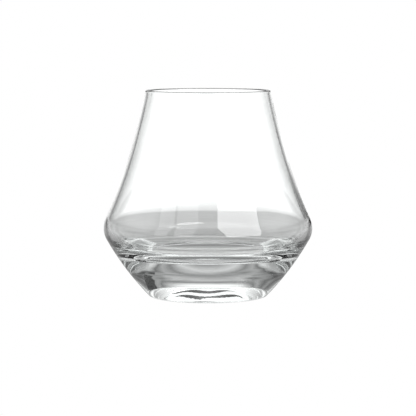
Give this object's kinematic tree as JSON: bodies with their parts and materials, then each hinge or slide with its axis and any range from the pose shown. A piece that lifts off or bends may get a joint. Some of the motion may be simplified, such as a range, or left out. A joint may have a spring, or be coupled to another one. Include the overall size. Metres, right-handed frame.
{
  "type": "whiskey tumbler",
  "caption": "Clear glass tumbler with a low bellied bowl that draws in to a narrower thin lip, on a heavy solid base; for sipping and nosing spirits.",
  "frame": {"origin": "centre of the foot, on the surface the glass stands on", "axes": "+Z is the glass's axis of revolution, from the foot up to the lip; X and Y are interchangeable"},
  "size_m": [0.0884, 0.0884, 0.087],
  "materials": {
    "clear_glass": "fire-polished clear soda-lime glass, smooth and glossy all over, faintly worn on the standing ring"
  },
  "bodies": {
    "root": {"tumbler": "clear_glass"}
  },
  "joints": []
}
